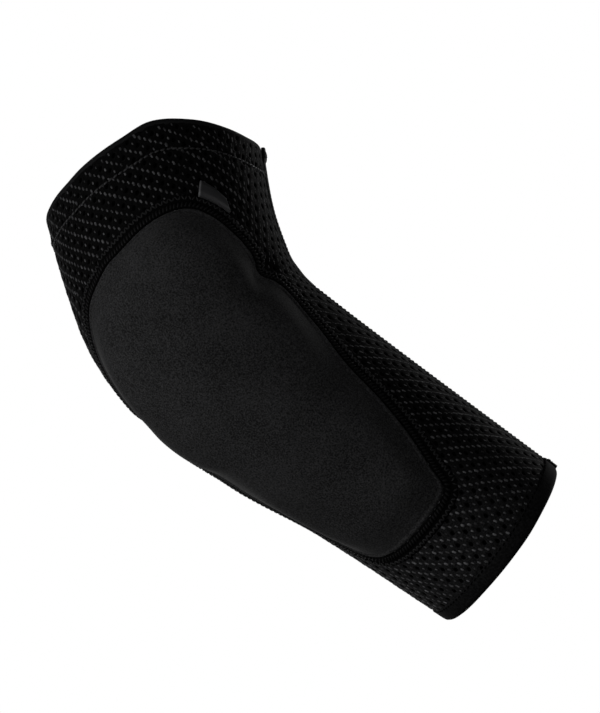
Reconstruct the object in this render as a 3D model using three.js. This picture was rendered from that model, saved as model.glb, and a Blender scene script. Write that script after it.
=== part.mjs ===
import * as THREE from 'three';

// Elbow guard in its worn form, in millimetres, +Z up. The origin is the centre of the elbow.
// The tube bends in the XZ plane: the upper arm goes up, the forearm down, the elbow points to -X.
// The pad is on the side that faces -Y. Angles round the tube start at the crook (+X) and pass
// +Y at 90, the elbow side at 180 and -Y at 270 degrees.

// Tube
const FLEXION = 48;
const BEND_RADIUS = 63;
const UPPER_LENGTH = 84;
const FOREARM_LENGTH = 163;
const WALL = 2;
const GAP = 0.4;

// Hems
const UPPER_HEM = 16;
const LOWER_HEM = 8;
const HEM_WALL = 3.2;
const FOLD_ROUND = 1.6;

// Pad
const PAD_CENTRE = { at: -38, angle: 212 };
const PAD_CROWN = 7.5;
const PAD_EDGE = 1.8;
const PAD_THINNEST = 1.2;
const PAD_SHOULDER = 20;
const DENTS = [
  { at: 3, angle: 270, reach: 8, depth: 2.2 },
  { at: -9.5, angle: 157, reach: 4.5, depth: 2 },
];

// Seam round the pad
const SEAM_WIDTH = 6.6;
const ROPE_HEIGHT = 1.5;
const GROOVE_HEIGHT = 0.5;
const THREAD_HEIGHT = 1.1;

// Seam along the sleeve
const LONG_SEAM_ANGLE = 329;
const LONG_SEAM_WIDTH = 5;
const LONG_SEAM_HEIGHT = 0.8;
const LONG_SEAM_END = 2;
const LONG_SEAM_TAIL = 0.8;

// Folded loop caught in the pad seam
const TAB_START = 2.4;
const TAB_WIDTH = 12.5;
const TAB_REACH = 6.8;
const TAB_LEAN_START = 2.6;
const TAB_LEAN_END = -0.6;
const TAPE = 0.6;
const TAB_THICK = 2;

// Facets
const AROUND = 44;
const PAD_AROUND = 64;
const PAD_RINGS = [0.15, 0.3, 0.45, 0.6, 0.72, 0.82, 0.9, 0.955, 1];
const UPPER_STEPS = 5;
const BEND_STEPS = 12;
const FOREARM_STEPS = 9;

// Half sizes of the tube at stations along its centreline, upper cuff first.
const SECTIONS = [
  { at: 84, crook: 50.5, outer: 53.8, side: 51 },
  { at: 50, crook: 45.3, outer: 54.8, side: 50 },
  { at: 22, crook: 46.8, outer: 53.7, side: 49.3 },
  { at: 6, crook: 48.4, outer: 52.2, side: 48.3 },
  { at: -8, crook: 49, outer: 50, side: 47.3 },
  { at: -22, crook: 49.2, outer: 48.8, side: 46.5 },
  { at: -50, crook: 47.2, outer: 48.4, side: 46 },
  { at: -90, crook: 45.3, outer: 43, side: 44.7 },
  { at: -163, crook: 42.5, outer: 42.3, side: 42.5 },
];

// How far each cuff edge runs past its nominal length, by angle round the tube.
const CUFF_EDGE = [
  { at: 0, upper: 0, lower: 1.5 },
  { at: 60, upper: 0, lower: 1 },
  { at: 120, upper: -3, lower: 0 },
  { at: 165, upper: -9, lower: -1 },
  { at: 190, upper: -9, lower: -1.6 },
  { at: 203, upper: -6.8, lower: -1.7 },
  { at: 228, upper: -2, lower: -1.2 },
  { at: 244, upper: 2, lower: -0.7 },
  { at: 264, upper: 0.2, lower: -0.5 },
  { at: 286, upper: -3.3, lower: 0.2 },
  { at: 302, upper: -4.4, lower: 0.8 },
  { at: 318, upper: -2.4, lower: 1.3 },
  { at: 330, upper: -0.6, lower: 1.5 },
  { at: 360, upper: 0, lower: 1.5 },
];

// Outline of the pad: at each station the angle of its edge on the elbow side and on the crook side.
const PAD_OUTLINE = [
  { at: 39, elbow: 240, crook: 251 },
  { at: 35, elbow: 226, crook: 258.5 },
  { at: 30, elbow: 214, crook: 264 },
  { at: 25, elbow: 198, crook: 268 },
  { at: 20, elbow: 181, crook: 271.5 },
  { at: 12, elbow: 169.5, crook: 275 },
  { at: 4, elbow: 163, crook: 275.5 },
  { at: -3, elbow: 158, crook: 279.5 },
  { at: -10, elbow: 153.5, crook: 281 },
  { at: -18, elbow: 152.5, crook: 280.5 },
  { at: -27, elbow: 156.5, crook: 277.5 },
  { at: -37, elbow: 161.5, crook: 273 },
  { at: -50, elbow: 161.5, crook: 266.5 },
  { at: -73, elbow: 160.5, crook: 259.5 },
  { at: -90, elbow: 161.5, crook: 252.5 },
  { at: -102, elbow: 164.5, crook: 246 },
  { at: -110, elbow: 168.5, crook: 241.5 },
  { at: -115, elbow: 174.5, crook: 239.5 },
  { at: -118, elbow: 186, crook: 237 },
  { at: -119.5, elbow: 204, crook: 230 },
];

const BLACK_MESH = { color: '#0c0c0d', roughness: 0.85, metalness: 0 };
const BLACK_BAND = { color: '#0e0e10', roughness: 0.8, metalness: 0 };
const BLACK_CLOTH = { color: '#18181a', roughness: 0.9, metalness: 0 };
const BLACK_THREAD = { color: '#0a0a0b', roughness: 0.6, metalness: 0 };
const GREY_SATIN = { color: '#3a3a3d', roughness: 0.45, metalness: 0 };

const { clamp, degToRad, smoothstep } = THREE.MathUtils;

// Smooth curve through the rows of a table, read at one place in one column.
function read(rows, at, column) {
  const rising = rows[rows.length - 1].at > rows[0].at;
  const table = rising ? rows : [...rows].reverse();
  const last = table.length - 1;
  let i = 0;
  while (i < last - 1 && at > table[i + 1].at) {
    i += 1;
  }
  const slope = (k) => {
    const before = table[Math.max(k - 1, 0)];
    const after = table[Math.min(k + 1, last)];
    return (after[column] - before[column]) / (after.at - before.at);
  };
  const span = table[i + 1].at - table[i].at;
  const t = clamp((at - table[i].at) / span, 0, 1);
  const rise = (3 - 2 * t) * t * t;
  const start = t * (1 - t) * (1 - t) * slope(i) * span;
  const end = t * t * (t - 1) * slope(i + 1) * span;
  return table[i][column] + (table[i + 1][column] - table[i][column]) * rise + start + end;
}

// Point on the tube at a station and an angle, lifted off its outer face.
function skin(at, angle, lift) {
  const half = degToRad(FLEXION) / 2;
  const turn = clamp(at / BEND_RADIUS, -half, half);
  const beyond = at - turn * BEND_RADIUS;
  const round = degToRad(angle);
  const toCrook = Math.cos(round);
  const reach = (read(SECTIONS, at, toCrook > 0 ? 'crook' : 'outer') + lift) * toCrook;
  const side = (read(SECTIONS, at, 'side') + lift) * Math.sin(round);
  const x = BEND_RADIUS * (1 - Math.cos(turn)) + beyond * Math.sin(turn) + reach * Math.cos(turn);
  const z = BEND_RADIUS * Math.sin(turn) + beyond * Math.cos(turn) - reach * Math.sin(turn);
  return new THREE.Vector3(x, side, z);
}

function cuff(angle, which) {
  const wrapped = ((angle % 360) + 360) % 360;
  const edge = read(CUFF_EDGE, wrapped, which);
  return which === 'upper' ? UPPER_LENGTH + edge : -FOREARM_LENGTH - edge;
}

// Named solid from points and triangles, turned so that its faces look outward.
function piece(name, points, faces, finish) {
  let volume = 0;
  for (const [a, b, c] of faces) {
    volume += points[a].dot(new THREE.Vector3().crossVectors(points[b], points[c]));
  }
  const order = volume < 0 ? faces.map(([a, b, c]) => [a, c, b]) : faces;
  const geometry = new THREE.BufferGeometry();
  geometry.setFromPoints(points);
  geometry.setIndex(order.flat());
  geometry.computeVertexNormals();
  const mesh = new THREE.Mesh(geometry, new THREE.MeshStandardMaterial(finish));
  mesh.name = name;
  return mesh;
}

// Triangles that join closed sections one after another. A ring joins its last section to its first,
// an open run is closed at both ends with the cap.
function sweep(sections, ring, cap = []) {
  const n = sections[0].length;
  const faces = [];
  const spans = ring ? sections.length : sections.length - 1;
  for (let i = 0; i < spans; i += 1) {
    const here = i * n;
    const next = ((i + 1) % sections.length) * n;
    for (let j = 0; j < n; j += 1) {
      const k = (j + 1) % n;
      faces.push([here + j, next + j, next + k]);
      faces.push([here + j, next + k, here + k]);
    }
  }
  const end = (sections.length - 1) * n;
  for (const [a, b, c] of cap) {
    faces.push([a, b, c]);
    faces.push([end + a, end + c, end + b]);
  }
  return faces;
}

// Triangles over a closed profile, in the order of its points.
function capOf(profile) {
  const flat = profile.map(([u, v]) => new THREE.Vector2(u, v));
  const turnsLeft = THREE.ShapeUtils.area(flat) > 0;
  return THREE.ShapeUtils.triangulateShape(flat, []).map(([a, b, c]) => {
    const left = THREE.ShapeUtils.area([flat[a], flat[b], flat[c]]) > 0;
    return left === turnsLeft ? [a, b, c] : [a, c, b];
  });
}

const circle = Array.from({ length: AROUND }, (_, i) => (i * 360) / AROUND);

// Sleeve: one layer of mesh knit between the two hems.
function makeSleeve() {
  const bendEnd = (BEND_RADIUS * degToRad(FLEXION)) / 2;
  const sections = circle.map((angle) => {
    const top = cuff(angle, 'upper') - UPPER_HEM - GAP;
    const low = cuff(angle, 'lower') + LOWER_HEM + GAP;
    const stations = [];
    for (let i = 0; i < FOREARM_STEPS; i += 1) {
      stations.push(THREE.MathUtils.lerp(low, -bendEnd, i / FOREARM_STEPS));
    }
    for (let i = 0; i < BEND_STEPS; i += 1) {
      stations.push(THREE.MathUtils.lerp(-bendEnd, bendEnd, i / BEND_STEPS));
    }
    for (let i = 0; i <= UPPER_STEPS; i += 1) {
      stations.push(THREE.MathUtils.lerp(bendEnd, top, i / UPPER_STEPS));
    }
    const outside = stations.map((at) => skin(at, angle, 0));
    const inside = stations.map((at) => skin(at, angle, -WALL)).reverse();
    return [...outside, ...inside];
  });
  return piece('sleeve', sections.flat(), sweep(sections, true), BLACK_MESH);
}

// Hem: a band turned in at the cuff, with a rounded fold at the very edge.
function makeHem(name, which, width, finish) {
  const deep = HEM_WALL - FOLD_ROUND * 0.25;
  const profile = [
    { in: width, lift: 0 },
    { in: FOLD_ROUND, lift: 0 },
    { in: FOLD_ROUND * 0.3, lift: -FOLD_ROUND * 0.25 },
    { in: 0, lift: -HEM_WALL / 2 },
    { in: FOLD_ROUND * 0.3, lift: -deep },
    { in: FOLD_ROUND, lift: -HEM_WALL },
    { in: width, lift: -HEM_WALL },
  ];
  const way = which === 'upper' ? -1 : 1;
  const sections = circle.map((angle) => {
    const edge = cuff(angle, which);
    return profile.map((p) => skin(edge + way * p.in, angle, p.lift));
  });
  return piece(name, sections.flat(), sweep(sections, true), finish);
}

// Place on the tube moved a distance over its face, along a direction in space.
function slide(place, direction, distance) {
  const here = skin(place.at, place.angle, 0);
  const along = skin(place.at + 0.5, place.angle, 0).sub(here).multiplyScalar(2);
  const about = skin(place.at, place.angle + 1, 0).sub(here);
  return {
    at: place.at + (distance * direction.dot(along)) / along.lengthSq(),
    angle: place.angle + (distance * direction.dot(about)) / about.lengthSq(),
  };
}

// Pad outline as evenly spaced places on the tube, starting at the top and going down the crook side.
function padLoop() {
  const crookSide = PAD_OUTLINE.map((row) => new THREE.Vector3(row.at, row.crook, 0));
  const elbowSide = PAD_OUTLINE.map((row) => new THREE.Vector3(row.at, row.elbow, 0)).reverse();
  const curve = new THREE.CatmullRomCurve3([...crookSide, ...elbowSide], true, 'centripetal');
  const fine = curve.getPoints(720).slice(0, -1);
  const spots = fine.map((p) => skin(p.x, p.y, 0));
  const length = [0];
  for (let i = 0; i < fine.length; i += 1) {
    length.push(length[i] + spots[i].distanceTo(spots[(i + 1) % fine.length]));
  }
  const total = length[fine.length];
  const places = [];
  let k = 0;
  for (let i = 0; i < PAD_AROUND; i += 1) {
    const wanted = (total * i) / PAD_AROUND;
    while (length[k + 1] < wanted) {
      k += 1;
    }
    const t = (wanted - length[k]) / (length[k + 1] - length[k]);
    const p = fine[k].clone().lerp(fine[(k + 1) % fine.length], t);
    places.push({ at: p.x, angle: p.y });
  }
  return { places, total };
}

const loop = padLoop();

// Outward direction over the face of the tube at each place of the pad outline.
const outward = loop.places.map((place, i) => {
  const n = loop.places.length;
  const before = loop.places[(i + n - 1) % n];
  const after = loop.places[(i + 1) % n];
  const run = skin(after.at, after.angle, 0).sub(skin(before.at, before.angle, 0));
  const normal = skin(place.at, place.angle, 1).sub(skin(place.at, place.angle, 0));
  return normal.cross(run).normalize();
});

function padEdge(i, distance) {
  return slide(loop.places[i], outward[i], distance);
}

// Thickness of the pad: thin at its sewn edge, full beyond the shoulder, pressed in at the dents.
function padThickness(place, fromEdge) {
  const here = skin(place.at, place.angle, 0);
  let thick = PAD_EDGE + (PAD_CROWN - PAD_EDGE) * smoothstep(fromEdge, 0, PAD_SHOULDER);
  for (const dent of DENTS) {
    const far = here.distanceTo(skin(dent.at, dent.angle, 0)) / dent.reach;
    thick -= dent.depth * Math.exp(-far * far);
  }
  return Math.max(thick, PAD_THINNEST);
}

// Pad: concentric rings from its centre to its outline, a top and an underside that follows the tube.
function makePad() {
  const top = [];
  const under = [];
  const centre = skin(PAD_CENTRE.at, PAD_CENTRE.angle, 0);
  top.push(skin(PAD_CENTRE.at, PAD_CENTRE.angle, GAP + PAD_CROWN));
  under.push(skin(PAD_CENTRE.at, PAD_CENTRE.angle, GAP));
  for (const f of PAD_RINGS) {
    for (const edge of loop.places) {
      const place = {
        at: PAD_CENTRE.at + f * (edge.at - PAD_CENTRE.at),
        angle: PAD_CENTRE.angle + f * (edge.angle - PAD_CENTRE.angle),
      };
      const fromEdge = (1 - f) * centre.distanceTo(skin(edge.at, edge.angle, 0));
      top.push(skin(place.at, place.angle, GAP + padThickness(place, fromEdge)));
      under.push(skin(place.at, place.angle, GAP));
    }
  }
  const n = PAD_AROUND;
  const deep = top.length;
  const faces = [];
  for (let j = 0; j < n; j += 1) {
    const k = (j + 1) % n;
    faces.push([0, 1 + j, 1 + k]);
    faces.push([deep, deep + 1 + k, deep + 1 + j]);
    for (let r = 0; r < PAD_RINGS.length - 1; r += 1) {
      const a = 1 + r * n + j;
      const b = 1 + r * n + k;
      faces.push([a, a + n, b + n]);
      faces.push([a, b + n, b]);
      faces.push([deep + a, deep + b + n, deep + a + n]);
      faces.push([deep + a, deep + b, deep + b + n]);
    }
    const a = 1 + (PAD_RINGS.length - 1) * n + j;
    const b = 1 + (PAD_RINGS.length - 1) * n + k;
    faces.push([a, deep + a, deep + b]);
    faces.push([a, deep + b, b]);
  }
  return piece('elbow_pad', [...top, ...under], faces, BLACK_CLOTH);
}

// Seam round the pad: a rope-like inner ridge and a flat outer strip of thread, with a groove between.
function makePadSeam() {
  const profile = [
    { out: 0, lift: 0 },
    { out: 0, lift: ROPE_HEIGHT * 0.4 },
    { out: 0.7, lift: ROPE_HEIGHT * 0.85 },
    { out: 1.4, lift: ROPE_HEIGHT },
    { out: 2.2, lift: ROPE_HEIGHT * 0.85 },
    { out: 2.7, lift: GROOVE_HEIGHT },
    { out: 4, lift: GROOVE_HEIGHT },
    { out: 4.5, lift: THREAD_HEIGHT },
    { out: SEAM_WIDTH - 0.6, lift: THREAD_HEIGHT },
    { out: SEAM_WIDTH, lift: THREAD_HEIGHT * 0.4 },
    { out: SEAM_WIDTH, lift: 0 },
  ];
  const sections = loop.places.map((_, i) => profile.map((p) => {
    const place = padEdge(i, GAP + p.out);
    return skin(place.at, place.angle, GAP + p.lift);
  }));
  return piece('pad_seam', sections.flat(), sweep(sections, true), BLACK_THREAD);
}

// Seam along the sleeve, a low rounded strip, thick at the ends where it crosses the hems. Its tail stands
// out past the lower cuff and ends short of the upper one.
function makeLongSeam() {
  const low = cuff(LONG_SEAM_ANGLE, 'lower') - LONG_SEAM_TAIL;
  const top = cuff(LONG_SEAM_ANGLE, 'upper') - LONG_SEAM_TAIL;
  const steps = 48;
  const profile = [
    [-0.5, 0],
    [0.5, 0],
    [0.42, 0.75],
    [0, 1],
    [-0.42, 0.75],
  ];
  const sections = [];
  for (let i = 0; i <= steps; i += 1) {
    const at = THREE.MathUtils.lerp(low, top, i / steps);
    const perDegree = skin(at, LONG_SEAM_ANGLE + 1, 0).distanceTo(skin(at, LONG_SEAM_ANGLE, 0));
    const toUpper = smoothstep(at, top - UPPER_HEM * 0.5, top - UPPER_HEM * 0.25);
    const toLower = smoothstep(-at, -low - LOWER_HEM, -low - LOWER_HEM * 0.5);
    const height = LONG_SEAM_HEIGHT + (LONG_SEAM_END - LONG_SEAM_HEIGHT) * (toUpper + toLower);
    sections.push(profile.map(([across, up]) => {
      const angle = LONG_SEAM_ANGLE + (across * LONG_SEAM_WIDTH) / perDegree;
      return skin(at, angle, GAP + up * height);
    }));
  }
  return piece('long_seam', sections.flat(), sweep(sections, false, capOf(profile)), BLACK_THREAD);
}

// Tab: a strip of tape folded back on itself, its open end at the pad seam. Its sides lean, by so many degrees
// round the tube at the fold, so that the fold is a little shorter than the sewn end.
function makeTab() {
  const mid = TAB_THICK / 2;
  const profile = [
    [0, 0],
    [TAB_REACH - 0.9, 0],
    [TAB_REACH - 0.25, 0.4],
    [TAB_REACH, mid],
    [TAB_REACH - 0.25, TAB_THICK - 0.4],
    [TAB_REACH - 0.9, TAB_THICK],
    [0, TAB_THICK],
    [0, TAB_THICK - TAPE],
    [TAB_REACH - 1, TAB_THICK - TAPE],
    [TAB_REACH - TAPE, mid],
    [TAB_REACH - 1, TAPE],
    [0, TAPE],
  ];
  const steps = 6;
  const sections = [];
  for (let i = 0; i <= steps; i += 1) {
    const run = ((TAB_START + (TAB_WIDTH * i) / steps) / loop.total) * PAD_AROUND;
    const first = Math.floor(run);
    const a = padEdge(first, SEAM_WIDTH + 2 * GAP);
    const b = padEdge(first + 1, SEAM_WIDTH + 2 * GAP);
    const at = THREE.MathUtils.lerp(a.at, b.at, run - first);
    const angle = THREE.MathUtils.lerp(a.angle, b.angle, run - first);
    const lean = THREE.MathUtils.lerp(TAB_LEAN_START, TAB_LEAN_END, i / steps) / TAB_REACH;
    sections.push(profile.map(([out, up]) => skin(at + out, angle + lean * out, GAP + up)));
  }
  return piece('label_tab', sections.flat(), sweep(sections, false, capOf(profile)), GREY_SATIN);
}

const guard = new THREE.Group();
guard.name = 'elbow_guard';
guard.add(makeSleeve());
guard.add(makeHem('upper_hem', 'upper', UPPER_HEM, BLACK_MESH));
guard.add(makeHem('lower_hem', 'lower', LOWER_HEM, BLACK_BAND));
guard.add(makePad());
guard.add(makePadSeam());
guard.add(makeLongSeam());
guard.add(makeTab());

export default guard;
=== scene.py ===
import bpy
import numpy as np
from mathutils import Matrix


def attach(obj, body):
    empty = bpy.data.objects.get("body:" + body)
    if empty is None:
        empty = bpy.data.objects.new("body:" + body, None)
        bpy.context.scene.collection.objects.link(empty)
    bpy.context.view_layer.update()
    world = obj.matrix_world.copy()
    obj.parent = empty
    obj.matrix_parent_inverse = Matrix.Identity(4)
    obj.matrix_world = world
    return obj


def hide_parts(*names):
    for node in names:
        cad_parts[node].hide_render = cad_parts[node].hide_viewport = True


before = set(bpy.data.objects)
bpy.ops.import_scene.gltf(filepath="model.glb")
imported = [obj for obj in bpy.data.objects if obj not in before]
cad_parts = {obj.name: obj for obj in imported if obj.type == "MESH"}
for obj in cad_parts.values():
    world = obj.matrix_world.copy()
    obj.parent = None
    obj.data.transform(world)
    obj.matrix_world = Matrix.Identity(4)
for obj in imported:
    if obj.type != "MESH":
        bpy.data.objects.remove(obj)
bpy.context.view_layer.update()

# Sleeve: one layer of stretch mesh knit, bent as it is worn and open at both cuffs.
# It is knitted in a skew lattice of cells, each with an eyelet in its face and a close plain back, and its
# cut edges are taken in by the hems and by the lengthwise seam. All sizes here are in millimetres.
FLEXION = np.radians(48)
BEND_RADIUS = 63.0
UPPER_LENGTH = 84.0
FOREARM_LENGTH = 163.0
UPPER_HEM = 16.0
LOWER_HEM = 8.0
LONG_SEAM_ANGLE = 329.0
# the lattice: the radius it is laid out at, its two steps, their number each way, the parts of a cell's edges
KNIT_THICK = 1.0
KNIT_ROUND = 45.0
COURSE_STEP = np.array([-4.4, 4.1])
WALE_STEP = np.array([-5.3, -3.0])
LATTICE_REACH = 90
CELL_PARTS = np.array([4, 2])
# its lean above the bend: the share, the stations where it starts and is full, where and how it levels off
UPPER_LEAN = 0.42
LEAN_START, LEAN_END = -60.0, 50.0
LEAN_MIDDLE, LEAN_REACH = -20.0, 60.0
# the face of a cell: the eyelet's half sizes and depth, shares of the foot and the halfway ring, lifts
EYELET = np.array([1.15, 0.92])
EYELET_DEEP, EYELET_FOOT = 0.8, 0.8
HALFWAY = 0.62
KNUCKLE_LIFT, HOLLOW_LIFT, FACE_LIFT, RIM_LIFT = 0.12, -0.1, 0.04, -0.1
# the raised loops: half sizes as knitted and drawn out into ribs, the angles from the crook between the two
LOOP = np.array([1.2, 0.66, 0.24])
RIB_LOOP = np.array([2.0, 0.32, 0.12])
RIB_START, RIB_FULL = 90.0, 60.0
LOOP_PLAY = (0.8, 1.15)
SMALL_LOOP, SHORT_LOOP, LOOP_LEAN = 0.72, 0.35, 0.22
# painted light: the yarn pales along this direction, as if lit from below towards the forearm cuff, between
# these two distances in metres
PAINTED_LIGHT_WAY = (-0.68, 0.0, -1.4)
PAINTED_LIGHT_SPAN = (0.1, 0.175)
# the edges: how far cells reach past them or in, where they are drawn in, in what room, how clear loops stay
SEAM_LOW = np.radians(LONG_SEAM_ANGLE - 360 - 270) * KNIT_ROUND
SEAM_HIGH = np.radians(LONG_SEAM_ANGLE - 270) * KNIT_ROUND
SEAM_OVER, SEAM_TUCK, SEAM_ROOM, SEAM_CLEAR = 1.15, 2.0, 1.9, 2.6
UPPER_OVER, UPPER_TUCK, UPPER_ROOM, UPPER_CLEAR = 1.55, 2.6, 1.8, 3.8
LOWER_START, LOWER_TUCK, LOWER_ROOM, LOWER_CLEAR = 3.2, 4.0, 3.4, 0.4
# the sewn lines: depth and width of each dip, then height, width and place of the ridge above the upper one
HEM_DIP, HEM_DIP_WIDTH = 0.4, 1.2
BAND_DIP, BAND_DIP_WIDTH = 0.45, 1.5
HEM_RIDGE, HEM_RIDGE_WIDTH, HEM_RIDGE_AT = 0.5, 1.3, 2.2
# rows: station on the middle line, half size to the crook, to the elbow, to each side
TUBE_ROWS = np.array([
    [-163, 42.5, 42.3, 42.5],
    [-90, 45.3, 43, 44.7],
    [-50, 47.2, 48.4, 46],
    [-22, 49.2, 48.8, 46.5],
    [-8, 49, 50, 47.3],
    [6, 48.4, 52.2, 48.3],
    [22, 46.8, 53.7, 49.3],
    [50, 45.3, 54.8, 50],
    [84, 50.5, 53.8, 51],
])
# rows: angle round the tube, how far the upper and the lower cuff edge run past their length
CUFF_ROWS = np.array([
    [0, 0, 1.5],
    [60, 0, 1],
    [120, -3, 0],
    [165, -9, -1],
    [190, -9, -1.6],
    [203, -6.8, -1.7],
    [228, -2, -1.2],
    [244, 2, -0.7],
    [264, 0.2, -0.5],
    [286, -3.3, 0.2],
    [302, -4.4, 0.8],
    [318, -2.4, 1.3],
    [330, -0.6, 1.5],
    [360, 0, 1.5],
])
# rows: station and angle of a fold that the bend pinches into the cloth, its reach along and round, its depth
PINCH_ROWS = np.array([
    [5.0, 279.0, 5.0, 6.0, 3.6],
    [-9.5, 150.0, 3.2, 11.0, 1.6],
])


def through_rows(rows, column, place):
    """Smooth curve through a table: in each span a cubic that starts and ends with the slope of the
    line through the rows on either side, held at the end values outside the table."""
    x, y = rows[:, 0], rows[:, column]
    slope = np.empty_like(y)
    slope[1:-1] = (y[2:] - y[:-2]) / (x[2:] - x[:-2])
    slope[0] = (y[1] - y[0]) / (x[1] - x[0])
    slope[-1] = (y[-1] - y[-2]) / (x[-1] - x[-2])
    k = np.clip(np.searchsorted(x, place) - 1, 0, len(x) - 2)
    span = x[k + 1] - x[k]
    t = np.clip((place - x[k]) / span, 0, 1)
    start = t * (1 - t) ** 2 * slope[k] * span
    end = t * t * (t - 1) * slope[k + 1] * span
    return y[k] + (y[k + 1] - y[k]) * (3 - 2 * t) * t * t + start + end


def tube_face(station, angle, lift=0.0):
    """Point of the bent tube: the middle line is an arc with straight ends, and a point lies off it by
    the half size to the crook or elbow times the cosine of the angle and the half size to the side
    times its sine, both grown by the lift, less a bell curve for each pinched fold."""
    station, angle, lift = np.broadcast_arrays(
        np.asarray(station, float), np.asarray(angle, float), np.asarray(lift, float))
    for at, about, length, width, depth in PINCH_ROWS:
        off = ((station - at) / length) ** 2 + (np.radians(angle - about) * KNIT_ROUND / width) ** 2
        lift = lift - depth * np.exp(-off)
    turn = np.clip(station / BEND_RADIUS, -FLEXION / 2, FLEXION / 2)
    beyond = station - turn * BEND_RADIUS
    cos, sin = np.cos(np.radians(angle)), np.sin(np.radians(angle))
    crook = through_rows(TUBE_ROWS, 1, station)
    elbow = through_rows(TUBE_ROWS, 2, station)
    reach = (np.where(cos > 0, crook, elbow) + lift) * cos
    x = BEND_RADIUS * (1 - np.cos(turn)) + beyond * np.sin(turn) + reach * np.cos(turn)
    y = (through_rows(TUBE_ROWS, 3, station) + lift) * sin
    z = BEND_RADIUS * np.sin(turn) + beyond * np.cos(turn) - reach * np.sin(turn)
    return np.stack([x, y, z], -1)


def upper_cuff(angle):
    """Station of the upper cuff edge at an angle: the length plus the table's rise."""
    return UPPER_LENGTH + through_rows(CUFF_ROWS, 1, np.mod(angle, 360))


def lower_cuff(angle):
    """Station of the lower cuff edge at an angle: minus the length and the table's rise."""
    return -FOREARM_LENGTH - through_rows(CUFF_ROWS, 2, np.mod(angle, 360))


def hem_line(angle):
    """Station of the upper hem's sewn line: the hem's width in from the cuff edge."""
    return upper_cuff(angle) - UPPER_HEM


def unit(v):
    """Vectors divided by their lengths."""
    return v / np.linalg.norm(v, axis=-1, keepdims=True)


def eased(x):
    """Smooth step from 0 to 1: three times the square of x less twice its cube."""
    x = np.clip(x, 0, 1)
    return x * x * (3 - 2 * x)


def bell(x, width):
    """Bell curve: 1 at nought, e to the minus square of x over the width."""
    return np.exp(-(x / width) ** 2)


def face_frame(station, angle):
    """Unit directions on the tube: along the arm, round it, and off its face."""
    here = tube_face(station, angle)
    along = unit(tube_face(station + 0.2, angle) - here)
    about = unit(tube_face(station, angle + 0.2) - here)
    return along, about, unit(np.cross(about, along))


def knit_flow(spot):
    """Station and way round, in mm at the knit's usual radius, of lattice spots: so many course steps and
    wale steps on the flat cloth. From the bend upwards the courses lean, by a share of the way round
    that levels off to either side, and the way round is spread over the tube's own half size."""
    flat = spot[..., :1] * COURSE_STEP + spot[..., 1:] * WALE_STEP
    lean = UPPER_LEAN * eased((flat[..., 0] - LEAN_START) / (LEAN_END - LEAN_START))
    station = flat[..., 0] + lean * LEAN_REACH * np.tanh((flat[..., 1] - LEAN_MIDDLE) / LEAN_REACH)
    return station, flat[..., 1] * KNIT_ROUND / through_rows(TUBE_ROWS, 3, station)


def knit_cells(inside):
    """Lattice cells, as pairs of whole numbers, whose middle passes the test inside(station, angle) and
    lies between the two sides of the lengthwise seam. Cell (i, j) starts i course steps plus j wale
    steps from the middle of the bend."""
    steps = np.arange(-LATTICE_REACH, LATTICE_REACH)
    i, j = np.meshgrid(steps, steps, indexing="ij")
    cell = np.stack([i.ravel(), j.ravel()], -1)
    station, about = knit_flow(cell + 0.5)
    in_round = (about > SEAM_LOW - SEAM_OVER) & (about < SEAM_HIGH + SEAM_OVER)
    return cell[in_round & inside(station, 270 + np.degrees(about / KNIT_ROUND))]


def tucked(value, start, room):
    """Values past start drawn in: an excess x becomes room times x over x plus room."""
    x = np.maximum(value - start, 0)
    return np.minimum(value, start) + room * x / (x + room)


def knit_place(spot):
    """Station and angle of lattice spots, with the cut edges drawn in under the lengthwise seam, the upper
    fold and the lower band."""
    station, about = knit_flow(spot)
    about = tucked(about, SEAM_HIGH - SEAM_TUCK, SEAM_ROOM)
    about = -tucked(-about, -SEAM_LOW - SEAM_TUCK, SEAM_ROOM)
    angle = 270 + np.degrees(about / KNIT_ROUND)
    station = tucked(station, upper_cuff(angle) - UPPER_TUCK, UPPER_ROOM)
    return -tucked(-station, -lower_cuff(angle) - LOWER_TUCK, LOWER_ROOM), angle


def sewn_in(station, angle):
    """Lift of the knit near its two sewn lines: a dip at each line and, above the upper one, the ridge of
    the turned cloth, all bell curves of the distance."""
    up = station - hem_line(angle)
    low = station - lower_cuff(angle) - LOWER_HEM
    dips = -HEM_DIP * bell(up, HEM_DIP_WIDTH) - BAND_DIP * bell(low, BAND_DIP_WIDTH)
    return dips + HEM_RIDGE * bell(up - HEM_RIDGE_AT, HEM_RIDGE_WIDTH)


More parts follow.
